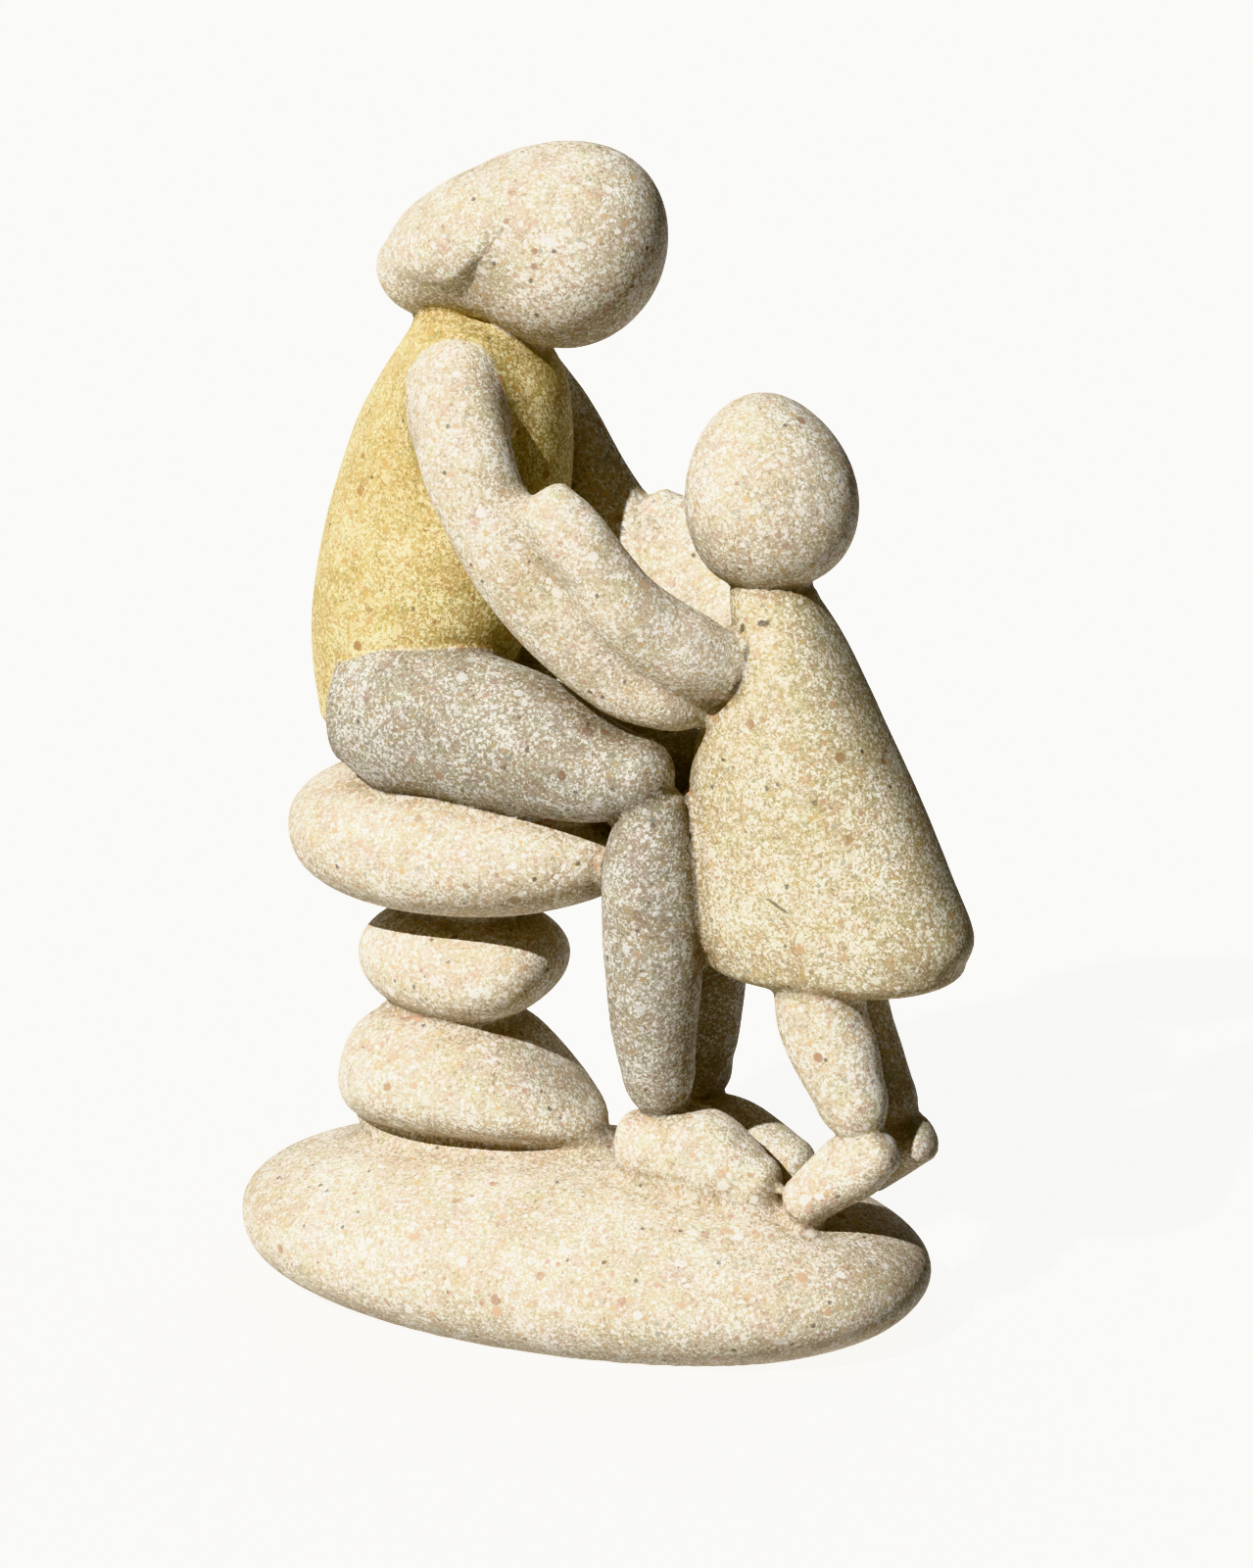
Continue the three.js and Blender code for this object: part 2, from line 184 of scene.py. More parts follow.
# The directions at places t of a limb: along its path, across it (near y), and square to both.
def limbAxes(form, t):
    step = 1e-3
    ahead = stationValue(form["stations"], np.minimum(t + step, 1))[:, :3]
    behind = stationValue(form["stations"], np.maximum(t - step, 0))[:, :3]
    forward = ahead - behind
    if form.get("level"):
        forward[:, :2] = 0
    forward /= np.linalg.norm(forward, axis=1)[:, None]
    across = np.array([0.0, 1.0, 0.0]) - forward[:, 1:2] * forward
    across /= np.linalg.norm(across, axis=1)[:, None]
    return forward, across, np.cross(forward, across)


# Cosine and sine of an angle, each drawn out to an edge: the power 2 / square of its size, so a
# round section is at square 2, and above that it is a rounded block.
def drawnOut(angle, square):
    return [np.sign(v) * np.abs(v) ** (2 / square) for v in (np.cos(angle), np.sin(angle))]


# A pebble's point at angle a round the side view and latitude b across it: the drawn out cosine of
# b as radius c, plus the outline's excess times c cubed, so the outline fades out at the two sides.
def pebbleSkin(form, around, along):
    b = np.linspace(np.pi / 2, -np.pi / 2, along + 1)[:, None]
    a = np.linspace(0, 2 * np.pi, around, endpoint=False)[None, :]
    c, height = drawnOut(b, form.get("square", 2))
    radius = c + (ringFactor(form["outline"], a / (2 * np.pi)) - 1) * c**3
    unit = np.stack([radius * np.cos(a), height + 0 * a, radius * np.sin(a)], -1)
    return unit * np.array(form["half"], float) + np.array(form["at"], float)


# A limb's point at angle a round the section and place s along it: s runs over one tip, the path
# and the other tip, and in a tip the section shrinks as a quarter of an ellipse.
def limbSkin(form, around, along):
    tip = np.linspace(0, np.pi / 2, 12)[:-1]
    t = np.concatenate([0 * tip, np.linspace(0, 1, along), 0 * tip + 1])
    shrink = np.concatenate([np.sin(tip), np.ones(along), np.sin(tip[::-1])])
    shift = np.concatenate([-form["ends"][0] * np.cos(tip), np.zeros(along),
                            form["ends"][1] * np.cos(tip[::-1])])
    section = stationValue(form["stations"], t)
    forward, across, wide = limbAxes(form, t)
    middle = section[:, :3] + forward * shift[:, None]
    a = np.linspace(0, 2 * np.pi, around, endpoint=False)[None, :, None]
    c, s = drawnOut(a, form.get("square", 2))
    return (middle[:, None] + (wide * (section[:, 3] * shrink)[:, None])[:, None] * c
            - (across * (section[:, 4] * shrink)[:, None])[:, None] * s)


# Joins closed skins, each a grid of rings whose first and last are points, into one mesh.
def meshOfSkins(name, skins):
    points, faces, start = [], [], 0
    for skin in skins:
        rings, around = skin.shape[:2]
        body = skin[1:-1].reshape(-1, 3)
        points += [skin[0, :1], body, skin[-1, :1]]
        k = np.arange(around)
        n = (k + 1) % around
        r = np.arange(rings - 3)[:, None] * around + start + 1
        quads = np.stack([r + k, r + n, r + around + n, r + around + k], -1).reshape(-1, 4)
        first = start + 1
        final = start + 1 + (rings - 3) * around
        end = final + around
        faces += quads.tolist()
        faces += np.stack([0 * k + start, first + n, first + k], -1).tolist()
        faces += np.stack([0 * k + end, final + k, final + n], -1).tolist()
        start = end + 1
    mesh = bpy.data.meshes.new(name)
    mesh.from_pydata((np.concatenate(points) * mm).tolist(), [], faces)
    return mesh


def pointsOf(mesh):
    co = np.empty(len(mesh.vertices) * 3, np.float32)
    mesh.vertices.foreach_get("co", co)
    return co.reshape(-1, 3).astype(float)


# Distance in mm of points from a pebble's skin, below zero inside: the points are stretched back
# to a ball, and the ball's distance is scaled by the slope of the stretch there.
def pebbleDistance(form, p):
    half = np.array(form["half"], float)
    u, v, w = ((p - np.array(form["at"], float)) / half).T
    excess = ringFactor(form["outline"], np.arctan2(w, u) / (2 * np.pi)) - 1
    n = form.get("square", 2)
    v = np.abs(v)
    stretch = 1 + excess * np.clip(1 - v**n, 0, 1) ** (2 / n)
    u, w = u / stretch, w / stretch
    r = np.maximum(np.hypot(u, w), 1e-6)
    size = (r**n + v**n) ** (1 / n)
    slope = np.sqrt(r ** (2 * n - 4) * ((u / (half[0] * stretch)) ** 2
                                        + (w / (half[2] * stretch)) ** 2)
                    + (v ** (n - 1) / half[1]) ** 2) * size ** (1 - n)
    return (size - 1) / np.maximum(slope, 1e-6)


# The same for a limb: the nearest place on its path gives the section, and the point is measured
# against that oval, or against the half ellipsoid of a tip.
def limbDistance(form, p):
    samples = np.linspace(0, 1, 64)
    rows = stationValue(form["stations"], samples)
    path = rows[:, :3]
    if form.get("level"):
        t = np.interp(-p[:, 2], -path[:, 2], samples)
    else:
        gaps = ((p**2).sum(1)[:, None] + (path**2).sum(1)[None] - 2 * p @ path.T)
        t = samples[np.argmin(gaps, axis=1)]
        for _ in range(2):
            here = stationValue(form["stations"], t)[:, :3]
            forward = limbAxes(form, t)[0]
            pace = np.linalg.norm(np.diff(path, axis=0), axis=1).sum()
            t = np.clip(t + ((p - here) * forward).sum(1) / pace, 0, 1)
    section = stationValue(form["stations"], t)
    forward, across, wide = limbAxes(form, t)
    gap = p - section[:, :3]
    along, u, v = (gap * forward).sum(1), (gap * wide).sum(1), (gap * across).sum(1)
    tip = np.where(t <= 0, form["ends"][0], form["ends"][1])
    beyond = np.where(((t <= 0) & (along < 0)) | ((t >= 1) & (along > 0)), along / tip, 0)
    u, v = np.abs(u) / section[:, 3], np.abs(v) / section[:, 4]
    n = form.get("square", 2)
    r = np.maximum((u**n + v**n) ** (1 / n), 1e-6)
    size = np.hypot(r, beyond)
    slope = np.sqrt(r ** (4 - 2 * n) * ((u ** (n - 1) / section[:, 3]) ** 2
                                        + (v ** (n - 1) / section[:, 4]) ** 2)
                    + (beyond / tip) ** 2)
    return (size - 1) * size / np.maximum(slope, 1e-6)


far = 12.0  # mm, distances past this are all the same to the fillets


def formDistances(p):
    distances = {}
    for forms, skinOf, distanceOf in ((pebbles, pebbleSkin, pebbleDistance),
                                      (limbs, limbSkin, limbDistance)):
        for name, form in forms.items():
            skin = skinOf(form, 16, 16).reshape(-1, 3)
            close = ((p > skin.min(0) - far) & (p < skin.max(0) + far)).all(1)
            distances[name] = np.full(len(p), far)
            distances[name][close] = np.minimum(distanceOf(form, p[close]), far)
    return distances


# Union of two distances with a round fillet: the smaller one, less a parabola where they are
# within the fillet's reach of each other.
def filleted(a, b, reach):
    return np.minimum(a, b) - np.maximum(reach - np.abs(a - b), 0) ** 2 / (4 * reach)


# The lobe of hair stands proud of the cheek: a step along a line in the side view, full height
# at the line and dying away behind it.
def hairStep(p):
    s = np.linspace(0, 1, 80)
    rows = stationValue(hairEdge["line"], s)
    ahead = np.gradient(rows[:, :2], axis=0)
    ahead /= np.linalg.norm(ahead, axis=1)[:, None]
    gap = p[:, None, ::2] - rows[None, :, :2]
    nearest = (gap**2).sum(2).argmin(1)
    gap = gap[np.arange(len(p)), nearest]
    side = ahead[nearest, 0] * gap[:, 1] - ahead[nearest, 1] * gap[:, 0]
    side = np.sign(side) * np.linalg.norm(gap, axis=1)
    rise = np.clip(side / hairEdge["width"] + 0.5, 0, 1)
    rise = rise * rise * (3 - 2 * rise) * np.exp(-np.maximum(side, 0) / hairEdge["reach"])
    return hairEdge["height"] * rise * rows[nearest, 2]


# The casting's distance: all forms run together, and the underside is cut flat at the ground.
def castDistance(p):
    distances = formDistances(p)
    head = ("adultHead", "nape", "hair")
    whole = np.full(len(p), far)
    for name in [*head, *(other for other in distances if other not in head)]:
        reach = casting["fillet"]
        if name in casting["fillets"]:
            heights, reaches = zip(*casting["fillets"][name])
            reach = np.interp(p[:, 2], heights, reaches)
        whole = filleted(whole, distances[name], reach)
        if name == "hair":
            high = (p[:, 2] > 230) & (whole < 3)
            whole[high] -= hairStep(p[high])
    return np.maximum(whole, -p[:, 2])


# Moves points onto the casting's skin, each along the distance's own slope.
def settle(p, passes):
    step = 0.05
    for _ in range(passes):
        here = castDistance(p)
        slope = np.stack([castDistance(p + step * axis) - here for axis in np.eye(3)], 1) / step
        steep = (slope**2).sum(1)
        move = slope * (here / np.maximum(steep, 0.25))[:, None]
        p = p - np.clip(move, -0.8, 0.8)
    return p, slope / np.sqrt(np.maximum(steep, 1e-9))[:, None]


# Slow unevenness: the mean of waves in random directions, about one wavelength apart.
def waves(p, length, seed):
    rng = np.random.default_rng(seed)
    ways = rng.normal(size=(14, 3))
    ways *= (rng.uniform(0.7, 1.4, (14, 1)) * 2 * np.pi / length
             / np.linalg.norm(ways, axis=1)[:, None])
    return np.sin(p @ ways.T + rng.uniform(0, 2 * np.pi, 14)).mean(1) * 2


def joinedSkin():
    skins = [pebbleSkin(form, casting["around"], casting["along"]) for form in pebbles.values()]
    skins += [limbSkin(form, casting["around"], casting["along"]) for form in limbs.values()]
    skins[0][..., 2] = np.maximum(skins[0][..., 2], 0)
    loose = bpy.data.objects.new("loose", meshOfSkins("loose", skins))
    bpy.context.scene.collection.objects.link(loose)
    remesh = loose.modifiers.new("join", "REMESH")
    remesh.mode = "VOXEL"
    remesh.voxel_size = casting["voxel"] * mm
    remesh.adaptivity = 0
    graph = bpy.context.evaluated_depsgraph_get()
    mesh = bpy.data.meshes.new_from_object(loose.evaluated_get(graph))
    bpy.data.objects.remove(loose)
    return mesh


skin = joinedSkin()
print("forms joined:", len(skin.vertices), "points")

drawing = np.array([groupMiddle, 0, 0])
place = pointsOf(skin) / mm
settled, outward = settle(place, casting["settlePasses"])
near = formDistances(settled)
print("skin settled on the fillets")


# How far a point is on the side of the named forms: a half where they meet the others, and above
# that on their own skin, one part in sixteen for each mm.
def sideOf(*names):
    own = np.min([near[name] for name in names], axis=0)
    other = np.min([d for name, d in near.items() if name not in names], axis=0)
    return 0.5 + (other - own) / 16


def keepAttribute(mesh, name, values):
    layer = mesh.attributes.new(name, "FLOAT", "POINT")
    layer.data.foreach_set("value", np.clip(values, 0, 1).astype(np.float32))


# How closed in a point is: how far short of a free point the casting lies above it
def closeness(height):
    return np.clip(1 - castDistance(settled + outward * height) / height, 0, 1)


# Painted shade: the skin is darkened where the casting closes in over it, in creases and between the
# forms, where the shade would fall.
creviceShade = np.clip(1.2 * closeness(2.5) + 0.6 * closeness(7), 0, 1)
keepAttribute(skin, "vest", sideOf("torso"))
keepAttribute(skin, "trousers", sideOf("nearThigh", "farThigh", "nearShin", "farShin"))
keepAttribute(skin, "dress", sideOf("dress"))
keepAttribute(skin, "creviceShade", creviceShade)

uneven = (casting["swell"] * waves(settled, casting["swellLength"], 3)
          + casting["ripple"] * waves(settled, casting["rippleLength"], 8))
upper = np.clip(settled[:, 2] / 3, 0, 1)
settled += outward * (uneven * upper)[:, None]
settled[:, 2] = np.maximum(settled[:, 2], 0)
skin.vertices.foreach_set("co", ((settled - drawing) * mm).astype(np.float32).ravel())
skin.polygons.foreach_set("use_smooth", np.ones(len(skin.polygons), bool))
skin.update()
group = bpy.data.objects.new("pebbleGroup", skin)
bpy.context.scene.collection.objects.link(group)
print("skin shaped")

# ---- materials ----


def addNode(tree, kind, **inputs):
    node = tree.nodes.new(kind)
    for key, value in inputs.items():
        name = key.replace("_", " ")
        if name in node.inputs:
            if isinstance(value, bpy.types.NodeSocket):
                tree.links.new(value, node.inputs[name])
            else:
                node.inputs[name].default_value = value
        else:
            setattr(node, key, value)
    return node


def mathNode(tree, operation, *values):
    node = tree.nodes.new("ShaderNodeMath")
    node.operation = operation
    for socket, value in zip(node.inputs, values):
        if isinstance(value, bpy.types.NodeSocket):
            tree.links.new(value, socket)
        else:
            socket.default_value = value
    return node.outputs[0]


# Value moved from one range to 0..1, smooth at both ends.
def stepUp(tree, value, low, high, top=1.0):
    node = tree.nodes.new("ShaderNodeMapRange")
    node.interpolation_type = "SMOOTHSTEP"
    tree.links.new(value, node.inputs["Value"])
    node.inputs["From Min"].default_value = low
    node.inputs["From Max"].default_value = high
    node.inputs["To Max"].default_value = top
    return node.outputs["Result"]


def mixed(tree, kind, amount, first, second):
    node = tree.nodes.new("ShaderNodeMix")
    node.data_type = "RGBA"
    node.blend_type = kind
    colourIn = [s for s in node.inputs if s.type == "RGBA"]
    for socket, value in ((node.inputs[0], amount), (colourIn[0], first), (colourIn[1], second)):
        if isinstance(value, bpy.types.NodeSocket):
            tree.links.new(value, socket)
        elif isinstance(value, (int, float)):
            socket.default_value = value
        else:
            socket.default_value = (*value, 1)
    return [s for s in node.outputs if s.type == "RGBA"][0]


stone = dict(
    cream=(0.66, 0.59, 0.46), tan=(0.455, 0.38, 0.27), white=(0.95, 0.955, 0.92),
    shade=(0.33, 0.26, 0.18),
    # colours of single sand grains, and how many of all grains have each
    grains=(((0.96, 0.95, 0.93), 0.20), ((0.62, 0.47, 0.27), 0.10), ((0.55, 0.38, 0.30), 0.06),
            ((0.42, 0.42, 0.36), 0.06)),
    # the same for the larger, sparser grains
    pebbles=(((0.95, 0.94, 0.92), 0.10), ((0.62, 0.43, 0.30), 0.07), ((0.38, 0.24, 0.16), 0.05)),
    # the painted shade of the hollow pits and scratches
    pitShade=(0.10, 0.075, 0.055),
    # the thin paint on the pale flakes, in the ground between them, and the reach of its edge
    vest=((0.95, 0.91, 0.64), (0.89, 0.80, 0.48), (0.45, 0.56)),
    trousers=((0.72, 0.72, 0.72), (0.57, 0.575, 0.58), (0.49, 0.53)),
    dress=((0.92, 0.90, 0.86), (0.81, 0.79, 0.67), (0.48, 0.53)),
    # the colour of the painted shade in creases and between the forms
    paintedShade=(0.42, 0.34, 0.26),
)


# Pits and scratches, painted dark as the shade in them: two ends, half width in mm, and depth from 0 to
# 1
marks = (
    ((41.5, -11, 170.2), (42, -11.8, 167.6), 0.8, 1), ((45, -11.7, 170.4), (48.6, -11.6, 170.7), 0.9, 1),
    ((43.8, -13, 166.5), (43.3, -16, 160), 1.1, 0.8), ((43.2, -16, 160.5), (41, -16.3, 153.5), 1.2, 0.8),
    ((50.8, -20.5, 110.1), (57.5, -20.9, 106.4), 0.45, 0.8),
    ((-4.6, -27.6, 109.4), (-1, -24.5, 115.9), 0.4, 0.5),
)


# Single grains of sand in a given number of cells a metre: each cell of the pattern has a random
# number, and the kinds of grain take shares of it from the top down. Gives colour and amount.
def sandLayer(tree, source, scale, kinds, colour, size):
    cells = addNode(tree, "ShaderNodeTexVoronoi", Vector=source, Scale=scale, Randomness=1.0)
    pick = tree.nodes.new("ShaderNodeSeparateColor")
    tree.links.new(cells.outputs["Color"], pick.inputs[0])
    reach = mathNode(tree, "MULTIPLY_ADD", pick.outputs[1], 0.35, size)
    inside = stepUp(tree, mathNode(tree, "SUBTRACT", reach, cells.outputs["Distance"]), 0.0, 0.12)
    top = 1.0
    for tone, share in kinds:
        chosen = mathNode(tree, "MULTIPLY", mathNode(tree, "LESS_THAN", pick.outputs[0], top),
                          mathNode(tree, "GREATER_THAN", pick.outputs[0], top - share))
        amount = mathNode(tree, "MULTIPLY", chosen, inside)
        strength = mathNode(tree, "MULTIPLY_ADD", pick.outputs[2], 0.5, 0.45)
        colour = mixed(tree, "MIX", mathNode(tree, "MULTIPLY", amount, strength), colour, tone)
        top -= share
    return colour


# Cast stone: pale flakes in a darker ground, single grains over them, and sparse pits, painted dark as
# the shade in them.
def grainGroup():
    tree = bpy.data.node_groups.new("stoneGrain", "ShaderNodeTree")
    tree.interface.new_socket("Place", in_out="INPUT", socket_type="NodeSocketVector")
    tree.interface.new_socket("Colour", in_out="OUTPUT", socket_type="NodeSocketColor")
    for name in ("Flakes", "Pits", "Patches", "Height"):
        tree.interface.new_socket(name, in_out="OUTPUT", socket_type="NodeSocketFloat")
    source = tree.nodes.new("NodeGroupInput").outputs["Place"]
    out = tree.nodes.new("NodeGroupOutput")
    fine = addNode(tree, "ShaderNodeTexNoise", Vector=source, Scale=1450.0, Detail=2.0,
                   Roughness=0.65, Distortion=0.9).outputs[0]
    middle = addNode(tree, "ShaderNodeTexNoise", Vector=source, Scale=330.0, Detail=2.0,
                     Roughness=0.6, Distortion=0.4).outputs[0]
    patch = addNode(tree, "ShaderNodeTexNoise", Vector=source, Scale=75.0, Detail=3.0,
                    Roughness=0.6, Distortion=0.3).outputs[0]
    level = mathNode(tree, "MULTIPLY_ADD", patch, 0.30, fine)
    level = mathNode(tree, "MULTIPLY_ADD", middle, 0.20, level)
    colour = mixed(tree, "MIX", stepUp(tree, level, 0.58, 0.80), stone["tan"], stone["cream"])
    flakes = stepUp(tree, level, 0.785, 0.85)
    colour = mixed(tree, "MIX", flakes, colour, stone["white"])
    lines = stepUp(tree, level, 0.61, 0.53)
    colour = mixed(tree, "MIX", mathNode(tree, "MULTIPLY", lines, 0.8), colour, stone["shade"])
    hue = addNode(tree, "ShaderNodeTexNoise", Vector=source, Scale=210.0, Detail=2.0,
                  Roughness=0.5, noise_dimensions="3D").outputs[1]
    colour = mixed(tree, "SOFT_LIGHT", 0.22, colour, hue)
    colour = sandLayer(tree, source, 760.0, stone["grains"], colour, 0.30)
    colour = sandLayer(tree, source, 300.0, stone["pebbles"], colour, 0.14)
    cells = addNode(tree, "ShaderNodeTexVoronoi", Vector=source, Scale=360.0, Randomness=1.0)
    pick = tree.nodes.new("ShaderNodeSeparateColor")
    tree.links.new(cells.outputs["Color"], pick.inputs[0])
    inside = stepUp(tree, mathNode(tree, "SUBTRACT", 0.26, cells.outputs["Distance"]), 0.0, 0.1)
    pits = mathNode(tree, "MULTIPLY", inside, mathNode(tree, "GREATER_THAN", pick.outputs[0], 0.94))
    height = mathNode(tree, "SUBTRACT", mathNode(tree, "MULTIPLY_ADD", flakes, 0.5, fine), pits)
    for name, value in (("Colour", colour), ("Flakes", flakes), ("Pits", pits),
                        ("Patches", patch), ("Height", height)):
        tree.links.new(value, out.inputs[name])
    return tree


# A small mark: how deep a place is in a stretched ball, from its middle to its edge.
def markGroup():
    tree = bpy.data.node_groups.new("smallMark", "ShaderNodeTree")
    for name in ("Place", "Middle", "Way"):
        tree.interface.new_socket(name, in_out="INPUT", socket_type="NodeSocketVector")
    for name in ("Reach", "Width"):
        tree.interface.new_socket(name, in_out="INPUT", socket_type="NodeSocketFloat")
    tree.interface.new_socket("Amount", in_out="OUTPUT", socket_type="NodeSocketFloat")
    given = tree.nodes.new("NodeGroupInput").outputs
    gap = addNode(tree, "ShaderNodeVectorMath", operation="SUBTRACT")
    tree.links.new(given["Place"], gap.inputs[0])
    tree.links.new(given["Middle"], gap.inputs[1])
    along = addNode(tree, "ShaderNodeVectorMath", operation="DOT_PRODUCT")
    tree.links.new(gap.outputs[0], along.inputs[0])
    tree.links.new(given["Way"], along.inputs[1])
    whole = addNode(tree, "ShaderNodeVectorMath", operation="DOT_PRODUCT")
    for socket in whole.inputs[:2]:
        tree.links.new(gap.outputs[0], socket)
    alongSquare = mathNode(tree, "POWER", mathNode(tree, "ABSOLUTE", along.outputs["Value"]), 2.0)
    acrossSquare = mathNode(tree, "SUBTRACT", whole.outputs["Value"], alongSquare)
    size = mathNode(
        tree, "SQRT", mathNode(
            tree, "ADD",
            mathNode(tree, "DIVIDE", alongSquare, mathNode(tree, "POWER", given["Reach"], 2.0)),
            mathNode(tree, "DIVIDE", acrossSquare, mathNode(tree, "POWER", given["Width"], 2.0))))
    out = tree.nodes.new("NodeGroupOutput")
    tree.links.new(stepUp(tree, size, 1.15, 0.55), out.inputs["Amount"])
    return tree


# The deepest of the marks at a place. Marks are drawn in mm, before the group is centred.
def markedDepth(tree, place):
    kind = markGroup()
    deepest = 0.0
    for first, last, width, depth in marks:
        first, last = np.array(first, float), np.array(last, float)
        reach = np.linalg.norm(last - first) / 2
        mark = tree.nodes.new("ShaderNodeGroup")
        mark.node_tree = kind
        tree.links.new(place, mark.inputs["Place"])
        mark.inputs["Middle"].default_value = ((first + last) / 2 - drawing) * mm
        mark.inputs["Way"].default_value = (last - first) / (2 * reach)
        mark.inputs["Reach"].default_value = reach * mm
        mark.inputs["Width"].default_value = width * mm
        here = mathNode(tree, "MULTIPLY", mark.outputs["Amount"], depth)
        deepest = mathNode(tree, "MAXIMUM", here, deepest)
    return deepest


def castStone():
    material = bpy.data.materials.new("castStone")
    material.use_nodes = True
    tree = material.node_tree
    tree.nodes.clear()
    place = tree.nodes.new("ShaderNodeTexCoord").outputs["Object"]
    grain = tree.nodes.new("ShaderNodeGroup")
    grain.node_tree = grainGroup()
    tree.links.new(place, grain.inputs["Place"])

    def stored(name):
        return addNode(tree, "ShaderNodeAttribute", attribute_name=name).outputs["Fac"]

    colour = grain.outputs["Colour"]
    drift = mathNode(tree, "MULTIPLY_ADD", grain.outputs["Patches"], 0.10, -0.05)
    for name in ("vest", "trousers", "dress"):
        paint = mixed(tree, "MIX", grain.outputs["Flakes"], stone[name][1], stone[name][0])
        edge = mathNode(tree, "ADD", stored(name), drift)
        low, high = stone[name][2]
        colour = mixed(tree, "MULTIPLY", stepUp(tree, edge, low, high), colour, paint)
    # Painted shade: darker where the casting closes in, in creases and between the forms.
    colour = mixed(tree, "MULTIPLY", mathNode(tree, "MULTIPLY", stored("creviceShade"), 0.5), colour,
                   stone["paintedShade"])
    # Painted shade in the pits and scratches, with their dents in the bump below
    colour = mixed(tree, "MIX", mathNode(tree, "MULTIPLY", grain.outputs["Pits"], 0.7), colour,
                   stone["pitShade"])
    marked = markedDepth(tree, place)
    colour = mixed(tree, "MIX", mathNode(tree, "MULTIPLY", marked, 0.85), colour, stone["pitShade"])
    height = mathNode(tree, "SUBTRACT", grain.outputs["Height"], marked)
    bump = addNode(tree, "ShaderNodeBump", Strength=0.4, Distance=0.0003, Height=height)
    shader = addNode(tree, "ShaderNodeBsdfPrincipled", Base_Color=colour,
                     Normal=bump.outputs["Normal"])
    shader.inputs["Roughness"].default_value = 0.72
    shader.inputs["Specular IOR Level"].default_value = 0.35
    output = tree.nodes.new("ShaderNodeOutputMaterial")
    tree.links.new(shader.outputs["BSDF"], output.inputs["Surface"])
    return material


skin.materials.append(castStone())
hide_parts("pebble_group")
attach(group, "root")
print("casting finished")

# ---- floor, light and camera ----

room = dict(
    floorSize=60.0, floorColour=(0.42, 0.42, 0.415),
    backdrop=(1.5, 1.5, 1.48),  # what is seen past the floor from low down, as pale as the floor
    glow=2.7,  # the floor's own light, which keeps it as pale as a studio sweep
    sunStrength=4.5, sunSoftness=1.2, sunColour=(1.0, 0.985, 0.95),
    sunFrom=(-14.0, 40.0),  # degrees towards +x, and above the horizon
    # way, colour and strength
    lobes=(((0, 0, -1), (1.0, 0.88, 0.70), 0.5), ((-0.7, 0.7, 0), (1.0, 0.95, 0.88), 0.65),
           ((0, 0.9, -0.4), (1.0, 0.92, 0.80), 0.4), ((0, -0.7, -0.7), (1.0, 0.88, 0.70), 0.4)),
)
camera = dict(
    turn=22.0, rise=15.0,  # degrees towards +x, and above the horizon
    distance=1.2, target=(0.0046, 0.0032, 0.126),
    lens=119.88, sensor=36.0,
)


# The way out towards a turn from the near side (-y) to +x, and a rise above the horizon
def wayOut(turn, rise):
    return Vector((math.sin(turn) * math.cos(rise), -math.cos(turn) * math.cos(rise),
                   math.sin(rise)))


def addFloor():
    half = room["floorSize"] / 2
    mesh = bpy.data.meshes.new("floor")
    mesh.from_pydata([(-half, -half, 0), (half, -half, 0), (half, half, 0), (-half, half, 0)],
                     [], [(0, 1, 2, 3)])
    material = bpy.data.materials.new("paleFloor")
    material.use_nodes = True
    shader = material.node_tree.nodes["Principled BSDF"]
    shader.inputs["Base Color"].default_value = (*room["floorColour"], 1)
    shader.inputs["Roughness"].default_value = 0.9
    shader.inputs["Emission Color"].default_value = (*room["floorColour"], 1)
    shader.inputs["Emission Strength"].default_value = room["glow"]
    mesh.materials.append(material)
    floor = bpy.data.objects.new("floor", mesh)
    bpy.context.scene.collection.objects.link(floor)
    floor.visible_diffuse = False


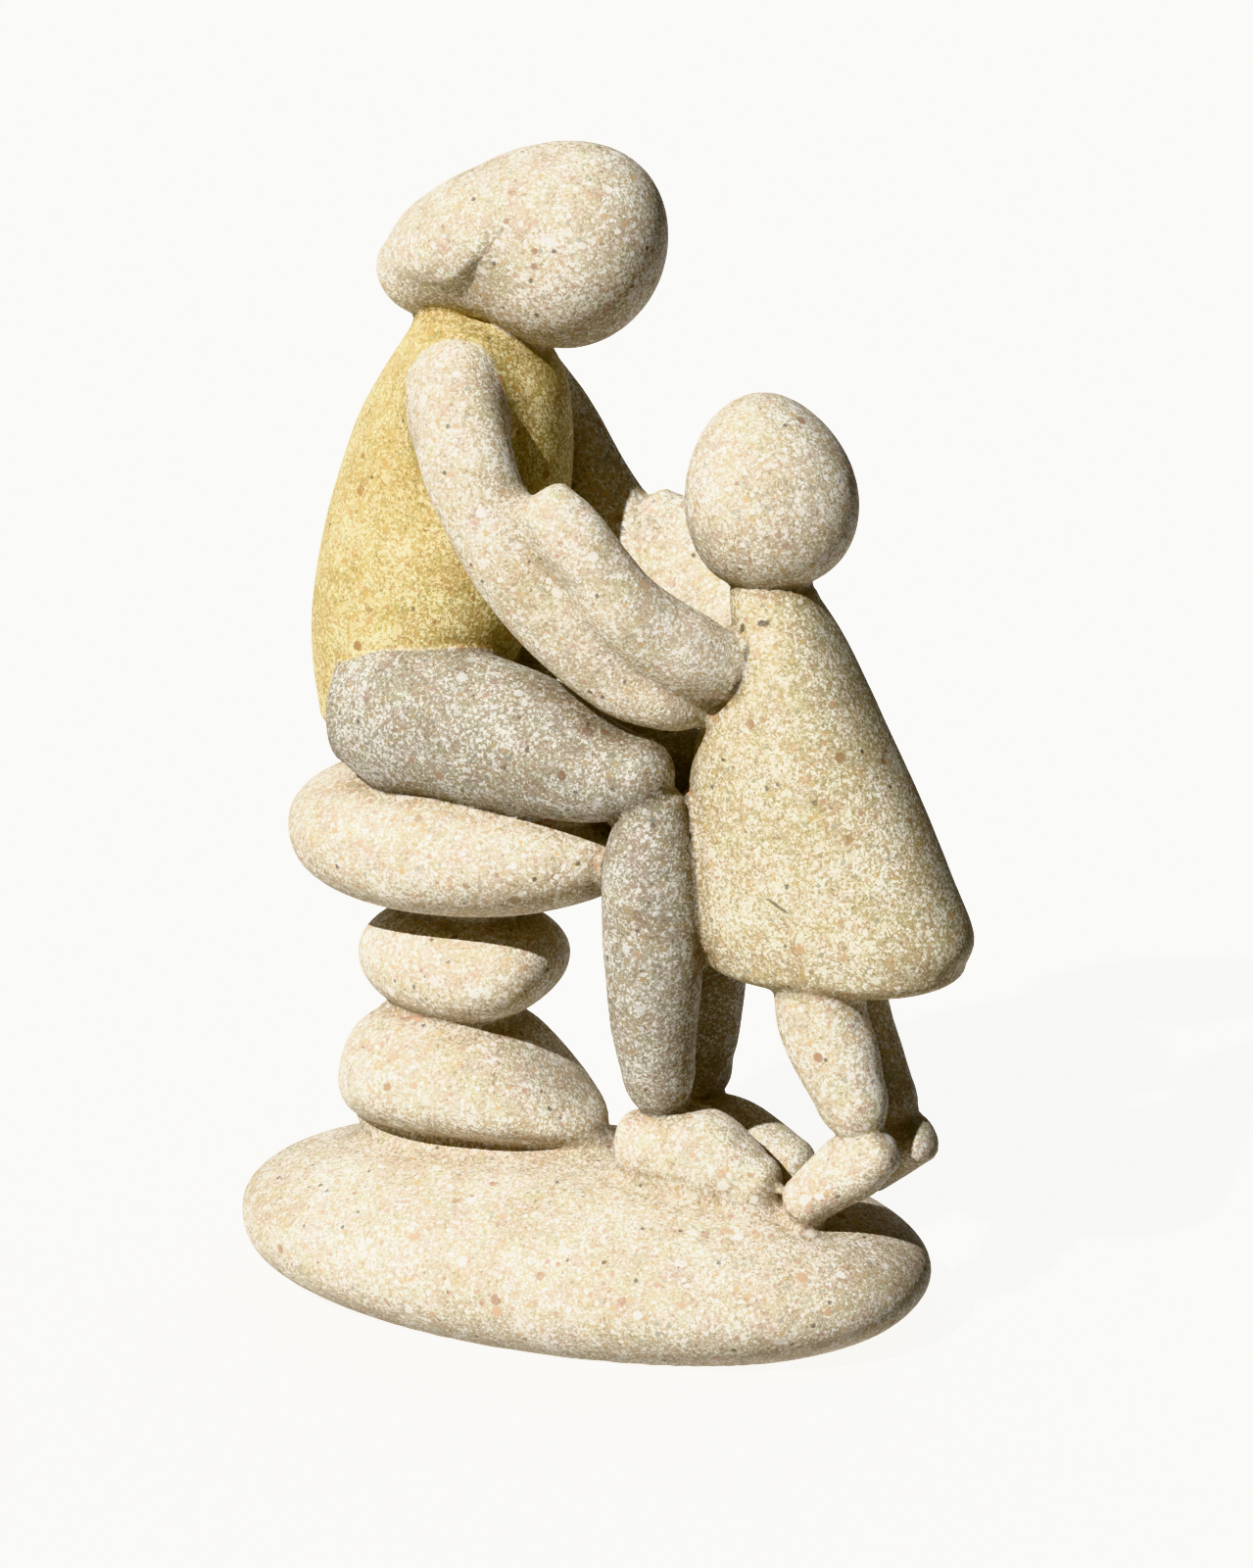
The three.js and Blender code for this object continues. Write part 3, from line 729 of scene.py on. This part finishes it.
# The sky is three wide lobes of light, each the square of how far the way points to its side.
def addSky():
    world = bpy.data.worlds.new("sky")
    bpy.context.scene.world = world
    world.use_nodes = True
    tree = world.node_tree
    background = tree.nodes["Background"]
    way = tree.nodes.new("ShaderNodeTexCoord").outputs["Generated"]
    total = None
    for direction, colour, strength in room["lobes"]:
        facing = addNode(tree, "ShaderNodeVectorMath", operation="DOT_PRODUCT")
        tree.links.new(way, facing.inputs[0])
        facing.inputs[1].default_value = direction
        amount = mathNode(tree, "MAXIMUM", facing.outputs["Value"], 0.0)
        amount = mathNode(tree, "MULTIPLY", mathNode(tree, "POWER", amount, 2.0), strength)
        lobe = addNode(tree, "ShaderNodeVectorMath", operation="SCALE")
        lobe.inputs[0].default_value = colour
        tree.links.new(amount, lobe.inputs["Scale"])
        if total is None:
            total = lobe.outputs[0]
        else:
            joined = addNode(tree, "ShaderNodeVectorMath", operation="ADD")
            tree.links.new(total, joined.inputs[0])
            tree.links.new(lobe.outputs[0], joined.inputs[1])
            total = joined.outputs[0]
    seen = tree.nodes.new("ShaderNodeLightPath").outputs["Is Camera Ray"]
    sky = mixed(tree, "MIX", seen, total, room["backdrop"])
    tree.links.new(sky, background.inputs["Color"])


def addLight():
    lamp = bpy.data.lights.new("key", "SUN")
    lamp.energy = room["sunStrength"]
    lamp.angle = math.radians(room["sunSoftness"])
    lamp.color = room["sunColour"]
    key = bpy.data.objects.new("key", lamp)
    turn, rise = (math.radians(angle) for angle in room["sunFrom"])
    key.rotation_mode = "QUATERNION"
    key.rotation_quaternion = wayOut(turn, rise).to_track_quat("Z", "Y")
    bpy.context.scene.collection.objects.link(key)


def addCamera():
    turn, rise = math.radians(camera["turn"]), math.radians(camera["rise"])
    back = wayOut(turn, rise)
    data = bpy.data.cameras.new("camera")
    data.lens = camera["lens"]
    data.sensor_width = camera["sensor"]
    data.clip_start, data.clip_end = 0.05, 50
    view = bpy.data.objects.new("camera", data)
    view.location = Vector(camera["target"]) + back * camera["distance"]
    view.rotation_mode = "QUATERNION"
    view.rotation_quaternion = back.to_track_quat("Z", "Y")
    bpy.context.scene.collection.objects.link(view)
    bpy.context.scene.camera = view


addFloor()
addSky()
addLight()
addCamera()
bpy.context.scene.view_settings.view_transform = "Khronos PBR Neutral"
bpy.context.scene.view_settings.look = "Medium High Contrast"
print("floor, light and camera placed")
